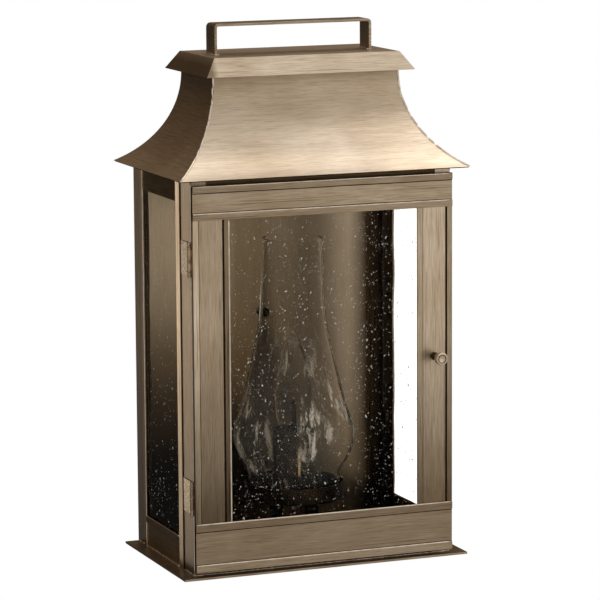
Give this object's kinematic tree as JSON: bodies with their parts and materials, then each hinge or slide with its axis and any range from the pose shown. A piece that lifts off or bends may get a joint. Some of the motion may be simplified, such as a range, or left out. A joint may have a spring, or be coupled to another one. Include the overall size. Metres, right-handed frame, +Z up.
{
  "type": "outdoor wall lantern",
  "caption": "Wall lantern: sheet-brass body with a flared roof and vent cap, a hinged seeded-glass door with a knob, glass side windows and a hurricane chimney over one bulb.",
  "frame": {"origin": "centre of the outlet box screw pattern on the wall plane, which is the rear face of the mounting crossbar and of the back pan's rim", "axes": "+Z up, +Y into the wall along the box screws, +X to the right when facing the lantern"},
  "size_m": [0.2834, 0.194, 0.4976],
  "materials": {
    "antique_brass": "brushed, antiqued",
    "seeded_glass": "seeded, slightly wavy",
    "clear_glass": "clear, polished",
    "plain_brass": "bright, rolled thread",
    "zinc_steel": "zinc plated",
    "green_screw": "satin green",
    "black_phenolic": "moulded"
  },
  "bodies": {
    "lantern_body": {"back_pan": "antique_brass", "back_panel": "antique_brass", "base_plate": "antique_brass", "bulb_base": "plain_brass", "bulb_glass": "clear_glass", "cap_nuts": "antique_brass", "cap_webs": "antique_brass", "carry_handle": "antique_brass", "centre_contact": "plain_brass", "chimney_cap": "antique_brass", "chimney_gallery": "antique_brass", "front_header": "antique_brass", "front_post_left": "antique_brass", "front_post_right": "antique_brass", "front_sill": "antique_brass", "ground_screw": "green_screw", "hinge_leaf_body_lower": "antique_brass", "hinge_leaf_body_upper": "antique_brass", "hinge_pin_lower": "antique_brass", "hinge_pin_upper": "antique_brass", "lamp_bracket": "antique_brass", "lamp_nipple": "zinc_steel", "lamp_nuts": "zinc_steel", "mounting_crossbar": "zinc_steel", "mounting_studs": "zinc_steel", "rear_post_left": "antique_brass", "rear_post_right": "antique_brass", "roof_back": "antique_brass", "roof_deck": "antique_brass", "roof_front": "antique_brass", "roof_left": "antique_brass", "roof_right": "antique_brass", "screw_shell": "plain_brass", "side_glass_clips_left": "antique_brass", "side_glass_clips_right": "antique_brass", "side_glass_left": "seeded_glass", "side_glass_right": "seeded_glass", "side_header_left": "antique_brass", "side_header_right": "antique_brass", "side_rail_left": "antique_brass", "side_rail_right": "antique_brass", "socket_insulator": "black_phenolic", "socket_shell": "antique_brass", "wire_bushing": "black_phenolic"},
    "door": {"door_bottom_rail": "antique_brass", "door_glass": "seeded_glass", "door_glass_clips": "antique_brass", "door_stile_left": "antique_brass", "door_stile_right": "antique_brass", "door_top_rail": "antique_brass", "hinge_leaf_door_lower": "antique_brass", "hinge_leaf_door_upper": "antique_brass", "latch_bushing": "antique_brass"},
    "latch": {"door_knob": "antique_brass", "latch_spindle": "antique_brass", "latch_tongue": "antique_brass"},
    "chimney": {"glass_chimney": "clear_glass"}
  },
  "joints": [
    {"name": "door_hinge", "type": "hinge", "parent": "lantern_body", "child": "door", "pos_m": [-0.1289, -0.1714, 0.027], "axis": [0, 0, -1], "range_deg": [0, 115]},
    {"name": "knob_turn", "type": "hinge", "parent": "door", "child": "latch", "pos_m": [0.1095, -0.1714, 0.035], "axis": [0, -1, 0], "range_deg": [0, 90]},
    {"name": "chimney_lift", "type": "slide", "parent": "lantern_body", "child": "chimney", "axis": [0, 0, 1], "range_m": [0, 0.05]}
  ]
}
